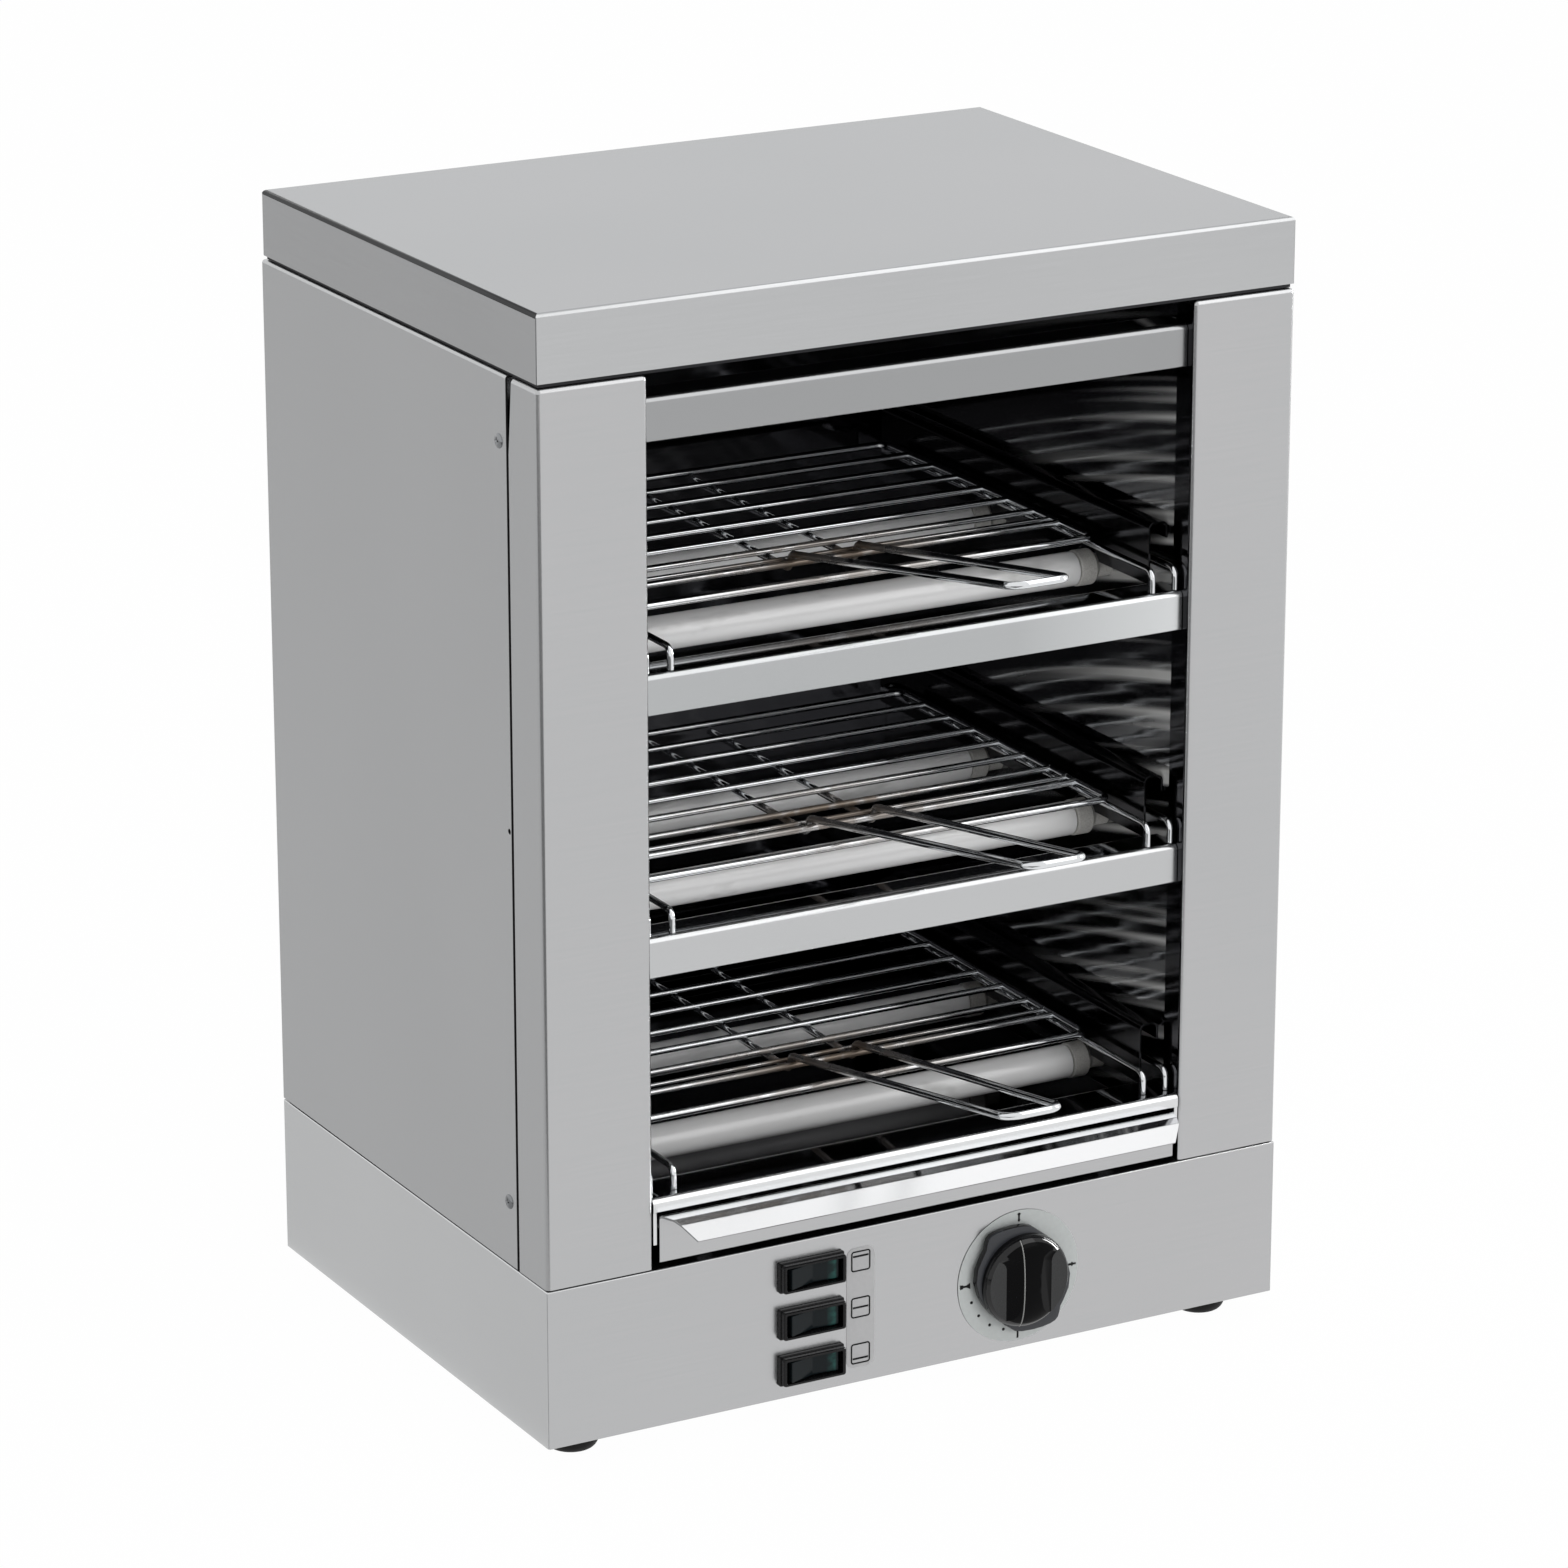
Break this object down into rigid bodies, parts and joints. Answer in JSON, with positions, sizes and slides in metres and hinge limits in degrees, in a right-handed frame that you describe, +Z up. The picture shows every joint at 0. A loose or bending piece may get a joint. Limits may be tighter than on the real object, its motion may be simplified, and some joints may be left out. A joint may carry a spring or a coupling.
{
  "type": "commercial toaster",
  "caption": "Open-fronted stainless steel toaster with wire grids that slide out over quartz tubes, a crumb tray, rocker switches and a rotary timer.",
  "frame": {"origin": "middle of the bounding box, on the surface that the feet stand on", "axes": "+X to the user's right, +Z up, and the open front faces -Y"},
  "size_m": [0.38, 0.4074, 0.527],
  "materials": {
    "steel": "satin, with a fine grain",
    "polished_steel": "polished, with soft ripples",
    "chromed_wire": "bright, heat-tinted brown at the hooks",
    "quartz": "milky",
    "ceramic": "matt",
    "black_plastic": "gloss",
    "rocker_lens": "smoky green gloss",
    "black_rubber": "matt",
    "printed_dial": "satin, printed"
  },
  "bodies": {
    "cabinet": {"top_cover": "steel", "base_housing": "steel", "base_plate": "steel", "left_front_column": "steel", "right_front_column": "steel", "left_side_panel": "steel", "right_side_panel": "steel", "rear_panel": "steel", "upper_front_rail": "steel", "middle_front_rail": "steel", "lower_front_rail": "steel", "front_sill": "steel", "left_chamber_liner": "polished_steel", "right_chamber_liner": "polished_steel", "chamber_ceiling": "polished_steel", "upper_left_runner": "polished_steel", "upper_right_runner": "polished_steel", "middle_left_runner": "polished_steel", "middle_right_runner": "polished_steel", "lower_left_runner": "polished_steel", "lower_right_runner": "polished_steel", "upper_front_heater_tube": "quartz", "upper_rear_heater_tube": "quartz", "middle_front_heater_tube": "quartz", "middle_rear_heater_tube": "quartz", "lower_front_heater_tube": "quartz", "lower_rear_heater_tube": "quartz", "upper_front_left_cap": "ceramic", "upper_front_right_cap": "ceramic", "upper_rear_left_cap": "ceramic", "upper_rear_right_cap": "ceramic", "middle_front_left_cap": "ceramic", "middle_front_right_cap": "ceramic", "middle_rear_left_cap": "ceramic", "middle_rear_right_cap": "ceramic", "lower_front_left_cap": "ceramic", "lower_front_right_cap": "ceramic", "lower_rear_left_cap": "ceramic", "lower_rear_right_cap": "ceramic", "switch_body_1": "black_plastic", "switch_body_2": "black_plastic", "switch_body_3": "black_plastic", "timer_body": "black_plastic", "cable_gland": "black_plastic", "front_left_foot": "black_rubber", "front_right_foot": "black_rubber", "rear_left_foot": "black_rubber", "rear_right_foot": "black_rubber", "dial_plate": "printed_dial"},
    "upper_grid": {"upper_bread_grid": "chromed_wire", "upper_grid_handle": "chromed_wire"},
    "middle_grid": {"middle_bread_grid": "chromed_wire", "middle_grid_handle": "chromed_wire"},
    "lower_grid": {"lower_bread_grid": "chromed_wire", "lower_grid_handle": "chromed_wire"},
    "tray": {"crumb_tray": "steel"},
    "rocker_1": {"rocker_1": "rocker_lens"},
    "rocker_2": {"rocker_2": "rocker_lens"},
    "rocker_3": {"rocker_3": "rocker_lens"},
    "knob": {"timer_knob": "black_plastic"}
  },
  "joints": [
    {"name": "upper_grid_slide", "type": "slide", "parent": "cabinet", "child": "upper_grid", "axis": [0, -1, 0], "range_m": [-0.022, 0.12]},
    {"name": "middle_grid_slide", "type": "slide", "parent": "cabinet", "child": "middle_grid", "axis": [0, -1, 0], "range_m": [-0.039, 0.103]},
    {"name": "lower_grid_slide", "type": "slide", "parent": "cabinet", "child": "lower_grid", "axis": [0, -1, 0], "range_m": [-0.022, 0.12]},
    {"name": "tray_slide", "type": "slide", "parent": "cabinet", "child": "tray", "axis": [0, -1, 0], "range_m": [0, 0.2]},
    {"name": "rocker_1_pivot", "type": "hinge", "parent": "cabinet", "child": "rocker_1", "pos_m": [-0.0578, -0.0878, 0.071], "axis": [0, 0, 1], "range_deg": [-14, 0]},
    {"name": "rocker_2_pivot", "type": "hinge", "parent": "cabinet", "child": "rocker_2", "pos_m": [-0.0578, -0.0878, 0.0485], "axis": [0, 0, 1], "range_deg": [-14, 0]},
    {"name": "rocker_3_pivot", "type": "hinge", "parent": "cabinet", "child": "rocker_3", "pos_m": [-0.0578, -0.0878, 0.026], "axis": [0, 0, 1], "range_deg": [-14, 0]},
    {"name": "timer_spindle", "type": "hinge", "parent": "cabinet", "child": "knob", "pos_m": [0.0512, -0.0894, 0.0474], "axis": [0, 1, 0], "range_deg": [0, 270]}
  ]
}
